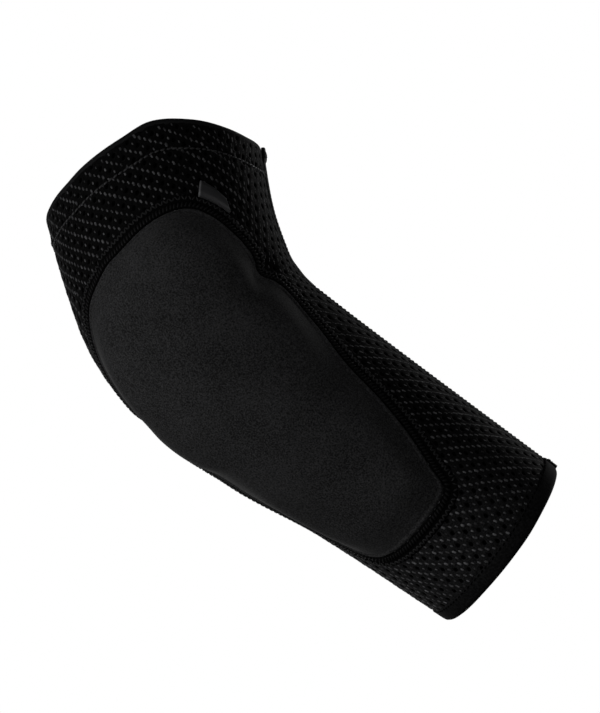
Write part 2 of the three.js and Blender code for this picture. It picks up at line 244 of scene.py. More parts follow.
def knit_shell(cell):
    """Cloth of the given cells. A cell is a run of rings: its edge on the outer face, a ring halfway in, the
    rim of the eyelet and the eyelet's foot, which is closed by a fan, as is the inner face. Neighbours
    share their edges, and an edge that only one cell uses is closed with a wall. The second result
    marks the faces inside the eyelets, which are given painted shade."""
    edge = np.array([
        [0, 0], [1, 0], [2, 0], [3, 0], [4, 0], [4, 1], [4, 2], [3, 2], [2, 2], [1, 2], [0, 2], [0, 1]])
    n, sides = len(cell), len(edge)
    corner = cell[:, None] * CELL_PARTS + edge
    key, index = np.unique(corner.reshape(-1, 2), axis=0, return_inverse=True)
    outer = index.reshape(n, sides)
    middle = cell[:, None] + 0.5
    off = corner / CELL_PARTS - middle
    flat = off[..., :1] * COURSE_STEP + off[..., 1:] * WALE_STEP
    way = np.arctan2(flat[..., 1], flat[..., 0])
    flat_to_spot = np.linalg.inv(np.stack([COURSE_STEP, WALE_STEP]))
    eye = (np.stack([np.cos(way), np.sin(way)], -1) * EYELET) @ flat_to_spot
    knuckle = (key[:, 0] % 2 == 0) & (key[:, 1] % 2 == 0)
    spots = [
        key / CELL_PARTS, middle + HALFWAY * off, middle + eye, middle + EYELET_FOOT * eye, middle, middle,
        key / CELL_PARTS]
    spots = [s.reshape(-1, 2) for s in spots]
    lifts = [
        np.where(knuckle, KNUCKLE_LIFT, HOLLOW_LIFT), FACE_LIFT, RIM_LIFT, -EYELET_DEEP, -EYELET_DEEP,
        -KNIT_THICK, -KNIT_THICK]
    lift = np.concatenate([np.broadcast_to(h, len(s)) for s, h in zip(spots, lifts)])
    start = np.cumsum([0] + [len(s) for s in spots])
    station, angle = knit_place(np.concatenate(spots))
    own = np.arange(n * sides).reshape(n, sides)
    inner = outer + start[6]
    rings = [outer, own + start[1], own + start[2], own + start[3]]
    quads = [
        np.stack([a, np.roll(a, -1, 1), np.roll(b, -1, 1), b], -1).reshape(-1, 4)
        for a, b in zip(rings[:-1], rings[1:])]
    hub = np.repeat(np.arange(n), sides).reshape(n, sides)
    foot = np.stack([rings[3], np.roll(rings[3], -1, 1), hub + start[4]], -1).reshape(-1, 3)
    back = np.stack([np.roll(inner, -1, 1), inner, hub + start[5]], -1).reshape(-1, 3)
    line = np.stack([outer, np.roll(outer, -1, 1)], -1).reshape(-1, 2)
    _, first, uses = np.unique(np.sort(line, 1), axis=0, return_index=True, return_counts=True)
    a, b = line[first[uses == 1]].T
    quads.append(np.stack([b, a, a + start[6], b + start[6]], -1))
    points = tube_face(station, angle, lift + sewn_in(station, angle))
    ring = n * sides
    dark = np.repeat([0, 1, 0, 1, 0], [2 * ring, ring, len(quads[-1]), ring, ring])
    return (points, np.concatenate(quads), np.concatenate([foot, back])), dark


def beads(centre, along, across, up, size, around=6, rings=2):
    """Small closed egg shapes: each ring of an egg is a circle of the sine of its latitude, stretched by the
    three half sizes along, across and up, with a point at either end."""
    lat = np.pi * np.arange(1, rings + 1) / (rings + 1)
    lon = 2 * np.pi * np.arange(around) / around
    x = np.concatenate([[1], np.repeat(np.cos(lat), around), [-1]])[:, None]
    y = np.concatenate([[0], np.outer(np.sin(lat), np.cos(lon)).ravel(), [0]])[:, None]
    z = np.concatenate([[0], np.outer(np.sin(lat), np.sin(lon)).ravel(), [0]])[:, None]
    size = np.broadcast_to(size, (len(centre), 3))[:, None]
    points = centre[:, None] + x * size[..., :1] * along[:, None]
    points = points + y * size[..., 1:2] * across[:, None] + z * size[..., 2:] * up[:, None]
    k = np.arange(around)
    nxt = (k + 1) % around
    last = 1 + rings * around
    tips = np.concatenate([
        np.stack([np.zeros_like(k), 1 + k, 1 + nxt], -1),
        np.stack([np.full_like(k, last), last - around + nxt, last - around + k], -1)])
    row = 1 + around * np.arange(rings - 1)[:, None]
    body = np.stack([row + k, row + around + k, row + around + nxt, row + nxt], -1).reshape(-1, 4)
    step = (len(x) * np.arange(len(centre)))[:, None, None]
    return points.reshape(-1, 3), (body + step).reshape(-1, 4), (tips + step).reshape(-1, 3)


def knuckles(cell):
    """Raised yarn of the given cells: two loops on each course and one smaller loop between the
    eyelets, each an egg that lies along the arm, leaning a little with the wale, with a small seeded play
    in its size; their pale yarn is painted glint. Towards the crook the loops are drawn out, along the
    course below the bend and along the wale above it, and run together into ribs; where the bend crowds the
    cloth they are shorter."""
    spot = np.concatenate([cell + [0, 0], cell + [0.5, 0], cell + [0, 0.5]])
    play = np.random.default_rng(5).uniform(*LOOP_PLAY, len(spot))
    big = np.repeat([1.0, 1.0, SMALL_LOOP], len(cell)) * play
    station, angle = knit_place(spot)
    about = np.radians(angle - 270) * KNIT_ROUND
    keep = station > lower_cuff(angle) + LOWER_HEM + LOWER_CLEAR
    keep &= station < upper_cuff(angle) - UPPER_CLEAR
    keep &= (about > SEAM_LOW + SEAM_CLEAR) & (about < SEAM_HIGH - SEAM_CLEAR)
    spot, big, station, angle = spot[keep], big[keep], station[keep], angle[keep]
    along, round_about, up = face_frame(station, angle)
    rib_step = np.where(station[:, None] < 0, [0.1, 0.0], [0.0, 0.1])
    rib = unit(tube_face(*knit_place(spot + rib_step)) - tube_face(station, angle))
    from_crook = np.abs((angle + 180) % 360 - 180)
    drawn = eased((RIB_START - from_crook) / (RIB_START - RIB_FULL))[:, None]
    lean = unit((1 - drawn) * unit(round_about * LOOP_LEAN - along) + drawn * rib)
    middle = tube_face(station, angle, sewn_in(station, angle))
    size = big[:, None] * (LOOP + drawn * (RIB_LOOP - LOOP))
    crowded = np.linalg.norm(tube_face(station + 0.5, angle) - tube_face(station - 0.5, angle), axis=1)
    size[:, 0] *= np.clip(crowded, SHORT_LOOP, 1)
    return beads(middle, lean, unit(np.cross(up, lean)), up, size)


def cloth_object(name, material, *parts, coords=None):
    """Smooth-shaded object at the origin. A part is points in mm, quads and perhaps triangles, all closed
    shapes turned the same way; its faces are turned round if its signed volume is negative. Coords, a
    pair for each point, become the map of the cloth."""
    points = np.concatenate([p[0] for p in parts])
    faces, start = [], 0
    for part in parts:
        sets = [f + start for f in part[1:]]
        fan = np.concatenate([f[:, [0, k, k + 1]] for f in sets for k in range(1, f.shape[1] - 1)])
        a, b, c = points[fan[:, 0]], points[fan[:, 1]], points[fan[:, 2]]
        inward = np.einsum("ij,ij->", a, np.cross(b, c)) < 0
        faces += [row for f in sets for row in (f[:, ::-1] if inward else f).tolist()]
        start += len(part[0])
    mesh = bpy.data.meshes.new(name)
    mesh.from_pydata((points * 0.001).tolist(), [], faces)
    mesh.polygons.foreach_set("use_smooth", np.ones(len(mesh.polygons), bool))
    mesh.materials.append(material)
    if coords is not None:
        corner = np.empty(len(mesh.loops), np.int32)
        mesh.loops.foreach_get("vertex_index", corner)
        layer = mesh.uv_layers.new(name="cloth")
        layer.data.foreach_set("uv", coords[corner].astype(np.float32).ravel())
    mesh.update()
    piece = bpy.data.objects.new(name, mesh)
    bpy.context.scene.collection.objects.link(piece)
    return piece


def second_material(piece, material, where):
    """Gives the faces that are marked with 1 another material."""
    piece.data.materials.append(material)
    piece.data.polygons.foreach_set("material_index", where.astype(np.int32))


def new_material(name):
    """A material, with its nodes, links and shader."""
    material = bpy.data.materials.new(name)
    material.use_nodes = True
    tree = material.node_tree
    return material, tree.nodes, tree.links, tree.nodes["Principled BSDF"]


def yarn_material(name, dark, light, roughness, gloss, grain, painted_light=0.0, sheen=0.0):
    """Black yarn: a fine grain of twisted fibre, on Object coordinates, mottles the grey between dark and
    light and gives the bump. The share after the grain is painted light: by it the grey pales towards the
    forearm cuff and the elbow's side of it, as if lit from below there. Sheen is the weight of the loose
    fibres that catch the light at a low angle."""
    material, nodes, links, shader = new_material(name)
    place = nodes.new("ShaderNodeTexCoord")
    fibre = nodes.new("ShaderNodeTexNoise")
    fibre.inputs["Scale"].default_value = grain
    fibre.inputs["Detail"].default_value = 3
    tone = nodes.new("ShaderNodeValToRGB")
    for element, position, grey in zip(tone.color_ramp.elements, (0.35, 0.7), (dark, light)):
        element.position = position
        element.color = (grey, grey, grey * 1.04, 1)
    bump = nodes.new("ShaderNodeBump")
    bump.inputs["Strength"].default_value = 0.35
    bump.inputs["Distance"].default_value = 0.0003
    links.new(place.outputs["Object"], fibre.inputs["Vector"])
    links.new(fibre.outputs["Fac"], tone.inputs["Fac"])
    links.new(fibre.outputs["Fac"], bump.inputs["Height"])
    down = nodes.new("ShaderNodeVectorMath")
    down.operation = "DOT_PRODUCT"
    down.inputs[1].default_value = PAINTED_LIGHT_WAY
    pale = nodes.new("ShaderNodeMapRange")
    span = (*PAINTED_LIGHT_SPAN, 1, 1 + painted_light)
    for socket, value in zip(("From Min", "From Max", "To Min", "To Max"), span):
        pale.inputs[socket].default_value = value
    grey = nodes.new("ShaderNodeVectorMath")
    grey.operation = "SCALE"
    links.new(place.outputs["Object"], down.inputs[0])
    links.new(down.outputs["Value"], pale.inputs["Value"])
    links.new(tone.outputs["Color"], grey.inputs[0])
    links.new(pale.outputs["Result"], grey.inputs["Scale"])
    links.new(grey.outputs["Vector"], shader.inputs["Base Color"])
    links.new(bump.outputs["Normal"], shader.inputs["Normal"])
    shader.inputs["Roughness"].default_value = roughness
    shader.inputs["Specular IOR Level"].default_value = gloss
    shader.inputs["Sheen Weight"].default_value = sheen
    shader.inputs["Sheen Roughness"].default_value = 0.4
    return material


# painted light: black_knit pales up to five times and the raised yarn 1.4 times towards the forearm cuff
black_knit = yarn_material("black_knit", 0.001, 0.005, 0.85, 0.05, 1600, 4.0, 0.04)
# painted shade: eyelet_shade makes the eyelets' walls and foot near black, for the shade down the open holes
eyelet_shade = yarn_material("eyelet_shade", 0.0002, 0.0006, 0.9, 0.02, 1600)
# painted glint: the raised loops' yarn is far paler than the knit, standing for the light they catch
painted_glint_yarn = yarn_material("painted_glint_yarn", 0.015, 0.13, 0.6, 0.12, 420, 0.4)

sleeve_cells = knit_cells(lambda s, a: (s < hem_line(a)) & (s > lower_cuff(a) + LOWER_START))
shell, in_eyelet = knit_shell(sleeve_cells)
sleeve = cloth_object("sleeve_knit", black_knit, shell)
second_material(sleeve, eyelet_shade, in_eyelet)
sleeve_yarn = cloth_object("sleeve_yarn", painted_glint_yarn, knuckles(sleeve_cells))
for piece in (sleeve, sleeve_yarn):
    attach(piece, "root")
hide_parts("sleeve")

# Upper hem: the same knit turned in double at the upper-arm cuff and sewn down with one row of stitches.
# The very edge is a smooth rolled fold; the turned layer shows on the inside of the cuff.
HEM_STITCH = np.array([1.3, 0.55, 0.4])
HEM_STEP, HEM_LIFT, HEM_LEAN = 2.7, -0.1, 0.18
# rows: distance in from the cuff edge, lift off the face of the tube
UPPER_FOLD = np.array([
    [16.0, -1.15], [3.6, -1.15], [3.3, -0.1], [2.9, 0.12], [2.1, 0.2], [1.2, 0.02], [0.45, -0.5],
    [0.0, -1.5], [0.35, -2.5], [1.2, -3.05], [2.6, -3.2], [9.0, -3.2], [15.4, -3.2], [16.0, -2.7]])


def ring_of_sections(sections):
    """Closed band through closed sections of equal length, the last section joined to the first."""
    m, n = sections.shape[:2]
    i, j = np.meshgrid(np.arange(m), np.arange(n), indexing="ij")
    i2, j2 = (i + 1) % m, (j + 1) % n
    quads = np.stack([i * n + j, i2 * n + j, i2 * n + j2, i * n + j2], -1)
    return sections.reshape(-1, 3), quads.reshape(-1, 4)


def cuff_band(profile, edge, way, around=220):
    """Closed ring: the profile's points, so far in from the cuff edge and off the face, carried round the
    tube."""
    angle = 360.0 * np.arange(around)[:, None] / around
    return ring_of_sections(tube_face(edge(angle) + way * profile[:, 0], angle, profile[:, 1]))


def stitch_row(line, lift, lean, size, spacing):
    """Row of stitches round a cuff line: eggs evenly spaced by length, each turned a little off the line."""
    fine = np.linspace(0, 360, 1441)
    step = np.linalg.norm(np.diff(tube_face(line(fine), fine), axis=0), axis=1)
    run = np.concatenate([[0], np.cumsum(step)])
    count = int(run[-1] // spacing)
    angle = np.interp(run[-1] * np.arange(count) / count, run, fine)
    here = tube_face(line(angle), angle)
    ahead = unit(tube_face(line(angle + 0.3), angle + 0.3) - here)
    _, _, up = face_frame(line(angle), angle)
    ahead = unit(ahead + lean * np.cross(up, ahead))
    return beads(tube_face(line(angle), angle, lift), ahead, np.cross(up, ahead), up, size, 6, 3)


hem_cells = knit_cells(lambda s, a: (s >= hem_line(a)) & (s < upper_cuff(a) + UPPER_OVER))
shell, in_eyelet = knit_shell(hem_cells)
upper_hem = cloth_object("upper_hem_cloth", black_knit, shell)
second_material(upper_hem, eyelet_shade, in_eyelet)
hem_yarn = cloth_object("upper_hem_yarn", painted_glint_yarn, knuckles(hem_cells))
fold_cloth = yarn_material("fold_cloth", 0.005, 0.014, 0.8, 0.15, 2600)
upper_fold = cloth_object("upper_hem_fold", fold_cloth, cuff_band(UPPER_FOLD, upper_cuff, -1))
hem_thread = yarn_material("hem_thread", 0.02, 0.06, 0.5, 0.3, 3000)
row = stitch_row(hem_line, HEM_LIFT, HEM_LEAN, HEM_STITCH, HEM_STEP)
upper_stitches = cloth_object("upper_hem_stitches", hem_thread, row)
for piece in (upper_hem, hem_yarn, upper_fold, upper_stitches):
    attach(piece, "root")
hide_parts("upper_hem")

# Lower hem: a close-knit elastic band folded over the forearm cuff, with no eyelets.
# One row of stitches along its inner edge holds it to the knit; they are near black, painted shade of the
# stitch holes.
BAND_STITCH = np.array([0.9, 0.4, 0.25])
BAND_STEP, BAND_LIFT, BAND_LEAN, BAND_INSET = 2.6, 0.2, 0.3, 0.6
# rows: distance in from the cuff edge, lift off the face of the tube
LOWER_BAND = np.array([
    [8.0, -0.4], [7.7, 0.1], [7.2, 0.32], [5.0, 0.38], [2.6, 0.36], [1.3, 0.2], [0.45, -0.4], [0.0, -1.4],
    [0.4, -2.5], [1.3, -3.05], [2.6, -3.2], [5.0, -3.2], [7.6, -3.2], [8.0, -2.8]])


def band_line(angle):
    """Station of the lower hem's stitches, just within its inner edge."""
    return lower_cuff(angle) + LOWER_HEM - BAND_INSET


band_cloth = yarn_material("band_cloth", 0.003, 0.014, 0.85, 0.06, 1100)
lower_hem = cloth_object("lower_hem_band", band_cloth, cuff_band(LOWER_BAND, lower_cuff, 1))
row = stitch_row(band_line, BAND_LIFT, BAND_LEAN, BAND_STITCH, BAND_STEP)
# painted shade: the stitches take the near-black eyelet shade, for the shadowed stitch holes
lower_stitches = cloth_object("lower_hem_stitches", eyelet_shade, row)
for piece in (lower_hem, lower_stitches):
    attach(piece, "root")
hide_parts("lower_hem")

# Elbow pad: a foam panel under plain close-woven cloth, sewn down all round its edge over the elbow and the
# forearm. It is thin at the sewn edge and full beyond its shoulder, with soft dents where the bend
# pinches it.
PAD_CENTRE = np.array([-38.0, 212.0])
PAD_CROWN, PAD_EDGE, PAD_SHOULDER = 7.5, 1.1, 20.0
PAD_LOW, PAD_SINK, PAD_UNDER = 0.5, 0.1, 0.3
PAD_ROLL, PAD_SEWN = 0.45, 6
# height, place and width of the rolled border, and of the groove behind it
PAD_BORDER = (0.25, 1.2, 0.7)
PAD_GROOVE = (0.35, 2.8, 0.7)
PAD_SWELL, PAD_FRAMES = 0.9, 20
# the mesh: steps round it, distances of the close rings from the edge, shares of the wide ones and underneath
PAD_AROUND, PAD_FINE = 192, 40
PAD_NEAR = np.array([0, 0.4, 0.8, 1.2, 1.7, 2.2, 2.8, 3.4, 4.1, 5.0, 6.4, 8.2, 10.2, 12.6, 15.6, 19])
PAD_WIDE = np.linspace(0.9, 0.08, 12)
PAD_BELOW = np.array([1.0, 0.97, 0.8, 0.6, 0.4, 0.2])
# rows: station and angle of a dent, its reach and its depth
PAD_DENTS = np.array([
    [3.0, 270.0, 8.0, 2.2],
    [-9.5, 157.0, 4.5, 2.0],
    [1.0, 275.0, 4.0, 1.2],
    [-1.0, 262.0, 7.0, 1.0],
])
# rows: station, angle of the pad's edge on the elbow side, on the crook side
PAD_ROWS = np.array([
    [39, 240, 251],
    [35, 226, 258.5],
    [30, 214, 264],
    [25, 198, 268],
    [20, 181, 271.5],
    [12, 169.5, 275],
    [4, 163, 275.5],
    [-3, 158, 279.5],
    [-10, 153.5, 281],
    [-18, 152.5, 280.5],
    [-27, 156.5, 277.5],
    [-37, 161.5, 273],
    [-50, 161.5, 266.5],
    [-73, 160.5, 259.5],
    [-90, 161.5, 252.5],
    [-102, 164.5, 246],
    [-110, 168.5, 241.5],
    [-115, 174.5, 239.5],
    [-118, 186, 237],
    [-119.5, 204, 230],
])


def pad_outline(count):
    """Even steps along the closed outline, and its length: a cubic through the table's points, down the crook
    side and up the elbow side, with slopes weighed by the square roots of the point distances."""
    p1 = np.concatenate([PAD_ROWS[:, [0, 2]], PAD_ROWS[::-1, [0, 1]]])
    p0, p2, p3 = np.roll(p1, 1, 0), np.roll(p1, -1, 0), np.roll(p1, -2, 0)
    pairs = ((p0, p1), (p1, p2), (p2, p3))
    d0, d1, d2 = (np.sqrt(np.linalg.norm(b - a, axis=1))[:, None] for a, b in pairs)
    m1 = ((p1 - p0) / d0 - (p2 - p0) / (d0 + d1) + (p2 - p1) / d1) * d1
    m2 = ((p2 - p1) / d1 - (p3 - p1) / (d1 + d2) + (p3 - p2) / d2) * d1
    t = (np.arange(PAD_FINE) / PAD_FINE)[:, None]
    rise = 3 * t ** 2 - 2 * t ** 3
    fine = p1[:, None] + rise * (p2 - p1)[:, None]
    fine = fine + (t ** 3 - 2 * t ** 2 + t) * m1[:, None] + (t ** 3 - t ** 2) * m2[:, None]
    fine = fine.reshape(-1, 2)
    fine = np.concatenate([fine, fine[:1]])
    step = np.linalg.norm(np.diff(tube_face(fine[:, 0], fine[:, 1]), axis=0), axis=1)
    run = np.concatenate([[0], np.cumsum(step)])
    wanted = run[-1] * np.arange(count) / count
    return np.stack([np.interp(wanted, run, fine[:, k]) for k in (0, 1)], -1), run[-1]


def pad_lift(place, from_edge):
    """Height of the pad's cloth: a rolled border, a sewn groove behind it, then a smooth rise over the
    shoulder to the crown, less bell-shaped dents."""
    rise = eased(from_edge / PAD_SHOULDER)
    roll = 1 - np.exp(-from_edge / PAD_ROLL)
    high, border_at, border_width = PAD_BORDER
    deep, groove_at, groove_width = PAD_GROOVE
    border = high * bell(from_edge - border_at, border_width)
    border = border - deep * bell(from_edge - groove_at, groove_width)
    full = PAD_LOW + (PAD_EDGE - PAD_SINK) * roll + border + (PAD_CROWN - PAD_SWELL - PAD_EDGE) * rise
    here = tube_face(place[..., 0], place[..., 1])
    for station, angle, reach, depth in PAD_DENTS:
        off = here - tube_face(station, angle)
        full = full - depth * np.exp(-(off * off).sum(-1) / reach ** 2) * roll
    return np.maximum(full, PAD_LOW)


def pad_shell():
    """Closed pad on polar rings round its centre: close rings in from the edge, wider ones to the middle, a
    point at the centre, and an underside of a few rings that follows the tube. The last result is how
    firmly each point is sewn."""
    edge, _ = pad_outline(PAD_AROUND)
    ray = np.linalg.norm(tube_face(edge[:, 0], edge[:, 1]) - tube_face(*PAD_CENTRE), axis=1)
    close = 1 - PAD_NEAR[:, None] / ray
    share = np.concatenate([close, close[-1] * PAD_WIDE[:, None]])
    place = PAD_CENTRE + share[..., None] * (edge - PAD_CENTRE)
    top = tube_face(place[..., 0], place[..., 1], pad_lift(place, (1 - share) * ray))
    under = PAD_CENTRE + PAD_BELOW[:, None, None] * (edge - PAD_CENTRE)
    rings = np.concatenate([top[::-1], tube_face(under[..., 0], under[..., 1], PAD_UNDER)])
    crown = tube_face(*PAD_CENTRE, pad_lift(PAD_CENTRE, 3 * PAD_SHOULDER))
    ends = [crown, tube_face(*PAD_CENTRE, PAD_UNDER)]
    r, n = rings.shape[:2]
    i, j = np.meshgrid(np.arange(r - 1), np.arange(n), indexing="ij")
    k = (j + 1) % n
    quads = np.stack([i * n + j, (i + 1) * n + j, (i + 1) * n + k, i * n + k], -1).reshape(-1, 4)
    j, k = j[0], k[0]
    caps = np.concatenate([
        np.stack([np.full(n, r * n), j, k], -1),
        np.stack([np.full(n, r * n + 1), (r - 1) * n + k, (r - 1) * n + j], -1)])
    loose = np.concatenate([np.clip(PAD_NEAR / PAD_SEWN, 0, 1), np.ones(len(PAD_WIDE))])[::-1]
    sewn = 1 - np.concatenate([np.repeat(np.concatenate([loose, np.zeros(len(under))]), n), [1, 0]])
    return np.concatenate([rings.reshape(-1, 3), ends]), quads, caps, sewn


def pad_filled(piece, sewn):
    """Cloth of the pad blown up over its foam: pinned where it is sewn and pressed out for some frames, and
    no point moved further than the swell. The result goes into the mesh."""
    group = piece.vertex_groups.new(name="sewn")
    for weight in np.unique(sewn.round(2)):
        group.add(np.nonzero(sewn.round(2) == weight)[0].tolist(), float(weight), "REPLACE")
    cover = piece.modifiers.new("cover", "CLOTH")
    cover.settings.quality = 6
    cover.settings.mass = 0.3
    cover.settings.tension_stiffness = cover.settings.compression_stiffness = 12
    cover.settings.bending_stiffness = 1.5
    cover.settings.vertex_group_mass = "sewn"
    cover.settings.use_pressure = True
    cover.settings.uniform_pressure_force = 4
    cover.settings.effector_weights.gravity = 0
    cover.collision_settings.use_collision = False
    scene = bpy.context.scene
    for step in range(1, PAD_FRAMES + 1):
        scene.frame_set(step)
    blown = piece.evaluated_get(bpy.context.evaluated_depsgraph_get())
    found = np.empty(len(piece.data.vertices) * 3, np.float32)
    start = np.empty_like(found)
    blown.data.vertices.foreach_get("co", found)
    piece.data.vertices.foreach_get("co", start)
    move = (found - start).reshape(-1, 3)
    far = np.maximum(np.linalg.norm(move, axis=1, keepdims=True), 1e-9)
    most = PAD_SWELL * 0.001
    piece.modifiers.remove(cover)
    piece.data.vertices.foreach_set("co", start + (move * most * np.tanh(far / most) / far).ravel())
    piece.data.update()
    scene.frame_set(1)


def pad_material():
    """Matt black cloth: a fine grain mottles the grey and gives the bump, a broad one lets it vary over the
    pad, and a soft sheen lightens it at a low angle."""
    material, nodes, links, shader = new_material("pad_cloth")
    place = nodes.new("ShaderNodeTexCoord")
    weave = nodes.new("ShaderNodeTexNoise")
    weave.inputs["Scale"].default_value = 1500
    weave.inputs["Detail"].default_value = 1.5
    broad = nodes.new("ShaderNodeTexNoise")
    broad.inputs["Scale"].default_value = 45
    both = nodes.new("ShaderNodeMath")
    both.operation = "MULTIPLY_ADD"
    both.inputs[1].default_value = 0.25
    tone = nodes.new("ShaderNodeValToRGB")
    for element, position, grey in zip(tone.color_ramp.elements, (0.45, 0.85), (0.008, 0.05)):
        element.position = position
        element.color = (grey, grey, grey * 1.03, 1)
    bump = nodes.new("ShaderNodeBump")
    bump.inputs["Strength"].default_value = 0.3
    bump.inputs["Distance"].default_value = 0.0003
    links.new(place.outputs["Object"], weave.inputs["Vector"])
    links.new(place.outputs["Object"], broad.inputs["Vector"])
    links.new(broad.outputs["Fac"], both.inputs[0])
    links.new(weave.outputs["Fac"], both.inputs[2])
    links.new(both.outputs[0], tone.inputs["Fac"])
    links.new(weave.outputs["Fac"], bump.inputs["Height"])
    links.new(tone.outputs["Color"], shader.inputs["Base Color"])
    links.new(bump.outputs["Normal"], shader.inputs["Normal"])
    shader.inputs["Roughness"].default_value = 0.9
    shader.inputs["Specular IOR Level"].default_value = 0.12
    shader.inputs["Sheen Weight"].default_value = 0.06
    shader.inputs["Sheen Roughness"].default_value = 0.45
    return material


*shell, sewn = pad_shell()
pad = cloth_object("elbow_pad_cloth", pad_material(), shell)
pad_filled(pad, sewn)
finer = pad.modifiers.new("finer", "SUBSURF")
finer.levels = finer.render_levels = 1
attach(pad, "root")
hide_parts("elbow_pad")

# Pad seam: the pad's edge is overlocked to the knit. Slanted stitches make a raised cord along the pad, a
# groove follows, and outside it bold stitches run to and fro. All lie on a narrow strip of dark cloth.
SEAM_WIDTH, SEAM_AROUND = 6.6, 300
CORD_STITCH = np.array([1.35, 0.48, 0.42])
CORD_OUT, CORD_LIFT, CORD_STEP, CORD_SLANT = 1.8, 1.1, 1.6, 2.2
CROSS_STITCH = np.array([1.2, 0.4, 0.42])
CROSS_OUT, CROSS_LIFT, CROSS_STEP, CROSS_SLANT = 5.4, 0.6, 1.15, 0.55
# rows: distance outward from the pad's edge, lift off the face of the tube
SEAM_STRIP = np.array([
    [0.4, 0.1], [0.4, 0.6], [1.0, 1.1], [2.4, 1.1], [2.95, 0.3], [4.3, 0.2], [4.7, 0.5], [6.3, 0.45],
    [6.9, 0.15], [6.9, 0.05]])


def beside_pad(count, out):
    """Steps of the pad's outline moved outward over the face: stations and angles, with the onward, outward
    and upward directions. The way out is split into its share along the arm and its share round it."""
    station, angle = pad_outline(count)[0].T
    here = tube_face(station, angle)
    ahead = unit(np.roll(here, -1, 0) - np.roll(here, 1, 0))
    up = unit(tube_face(station, angle, 1.0) - here)
    outward = unit(np.cross(up, ahead))
    along = tube_face(station + 1, angle) - here
    about = tube_face(station, angle + 1) - here
    station = station + out * (outward * along).sum(1) / (along * along).sum(1)
    angle = angle + out * (outward * about).sum(1) / (about * about).sum(1)
    return (station, angle), ahead, outward, up


_, pad_round = pad_outline(8)
strip = np.stack([tube_face(*beside_pad(SEAM_AROUND, out)[0], lift) for out, lift in SEAM_STRIP], 1)
seam_cloth = yarn_material("seam_cloth", 0.0008, 0.003, 0.85, 0.05, 1600)
pad_seam = cloth_object("pad_seam_cloth", seam_cloth, ring_of_sections(strip))
place, ahead, outward, up = beside_pad(int(pad_round / CORD_STEP), CORD_OUT)
slant = unit(ahead + CORD_SLANT * outward)
cord = beads(tube_face(*place, CORD_LIFT), slant, np.cross(up, slant), up, CORD_STITCH, 6, 3)
count = 2 * int(pad_round / CROSS_STEP / 2)
place, ahead, outward, up = beside_pad(count, CROSS_OUT)
slant = unit(outward + CROSS_SLANT * np.where(np.arange(count) % 2, 1, -1)[:, None] * ahead)
cross = beads(tube_face(*place, CROSS_LIFT), slant, np.cross(up, slant), up, CROSS_STITCH, 6, 3)
sewing_thread = yarn_material("sewing_thread", 0.005, 0.015, 0.6, 0.15, 3000)
cross_thread = yarn_material("cross_thread", 0.009, 0.032, 0.6, 0.2, 3000)
pad_thread = cloth_object("pad_seam_thread", sewing_thread, cord, cross)
in_cross = np.repeat([0, 1], [len(cord[1]) + len(cord[2]), len(cross[1]) + len(cross[2])])
second_material(pad_thread, cross_thread, in_cross)
for piece in (pad_seam, pad_thread):
    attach(piece, "root")
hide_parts("pad_seam")

# Long seam: the lengthwise seam that closes the sleeve on the crook side, an overlocked strip with a zigzag
# of thread over it. It is thick at both ends, where it crosses the turned hems.
LONG_SEAM_WIDTH, LONG_SEAM_HEIGHT, LONG_SEAM_END, LONG_SEAM_TAIL = 5.0, 0.8, 2.0, 0.8
LONG_SEAM_LIFT, LONG_SEAM_PARTS = 0.15, 160
THREAD, THREAD_LIFT = 0.25, 0.25
ZIGZAG_STEP, ZIGZAG_HALF, ZIGZAG_FALL, ZIGZAG_ENDS = 2.2, 1.75, 0.12, (0.01, 0.99)
# rows: distance round the tube from the seam line and height, as shares of the width and of the height
LONG_STRIP = np.array([
    [-0.5, 0], [-0.3, 0], [0.3, 0], [0.5, 0], [0.47, 0.55], [0.3, 0.9], [0, 1], [-0.3, 0.9], [-0.47, 0.55]])


def zigzag(count, steps=8):
    """Sideways share, from -1 to 1, of a thread that crosses over and back: a wave with straight flanks, the
    arc sine of a little less than a sine."""
    phase = 2 * np.pi * np.arange(count * steps) / steps
    return np.arcsin(0.97 * np.sin(phase)) / 1.33


def thread_sections(path, up, sides=6):
    """Circles of the thread's radius carried along a path, square to it."""
    ahead = np.gradient(path, axis=0)
    side = unit(np.cross(ahead, up))
    rise = unit(np.cross(side, ahead))
    turn = 2 * np.pi * np.arange(sides)[:, None] / sides
    return path[:, None] + THREAD * (np.cos(turn) * side[:, None] + np.sin(turn) * rise[:, None])


def beside_seam(share, across, height, lift):
    """Point by the seam line: at a share of the way between the cuffs, so many mm round the tube from it, at
    a share of the seam's height, which rises over each hem, and lifted."""
    low, top = (cuff(LONG_SEAM_ANGLE) - LONG_SEAM_TAIL for cuff in (lower_cuff, upper_cuff))
    station = low + (top - low) * share
    ends = eased((station - top + UPPER_HEM * 0.5) / (UPPER_HEM * 0.25))
    ends = ends + eased((low + LOWER_HEM - station) / (LOWER_HEM * 0.5))
    tall = LONG_SEAM_HEIGHT + (LONG_SEAM_END - LONG_SEAM_HEIGHT) * ends
    here = tube_face(station, LONG_SEAM_ANGLE)
    a_degree = np.linalg.norm(tube_face(station, LONG_SEAM_ANGLE + 1) - here, axis=-1)
    return tube_face(station, LONG_SEAM_ANGLE + across / a_degree, lift + height * tall)


def capped_run(sections):
    """Open run of closed sections with a fan over either end."""
    m, n = sections.shape[:2]
    i, j = np.meshgrid(np.arange(m - 1), np.arange(n), indexing="ij")
    j2 = (j + 1) % n
    quads = np.stack([i * n + j, (i + 1) * n + j, (i + 1) * n + j2, i * n + j2], -1).reshape(-1, 4)
    k, k2 = j[0], j2[0]
    caps = np.concatenate([
        np.stack([np.full(n, m * n), k, k2], -1),
        np.stack([np.full(n, m * n + 1), (m - 1) * n + k2, (m - 1) * n + k], -1)])
    return np.concatenate([sections.reshape(-1, 3), sections[[0, -1]].mean(1)]), quads, caps


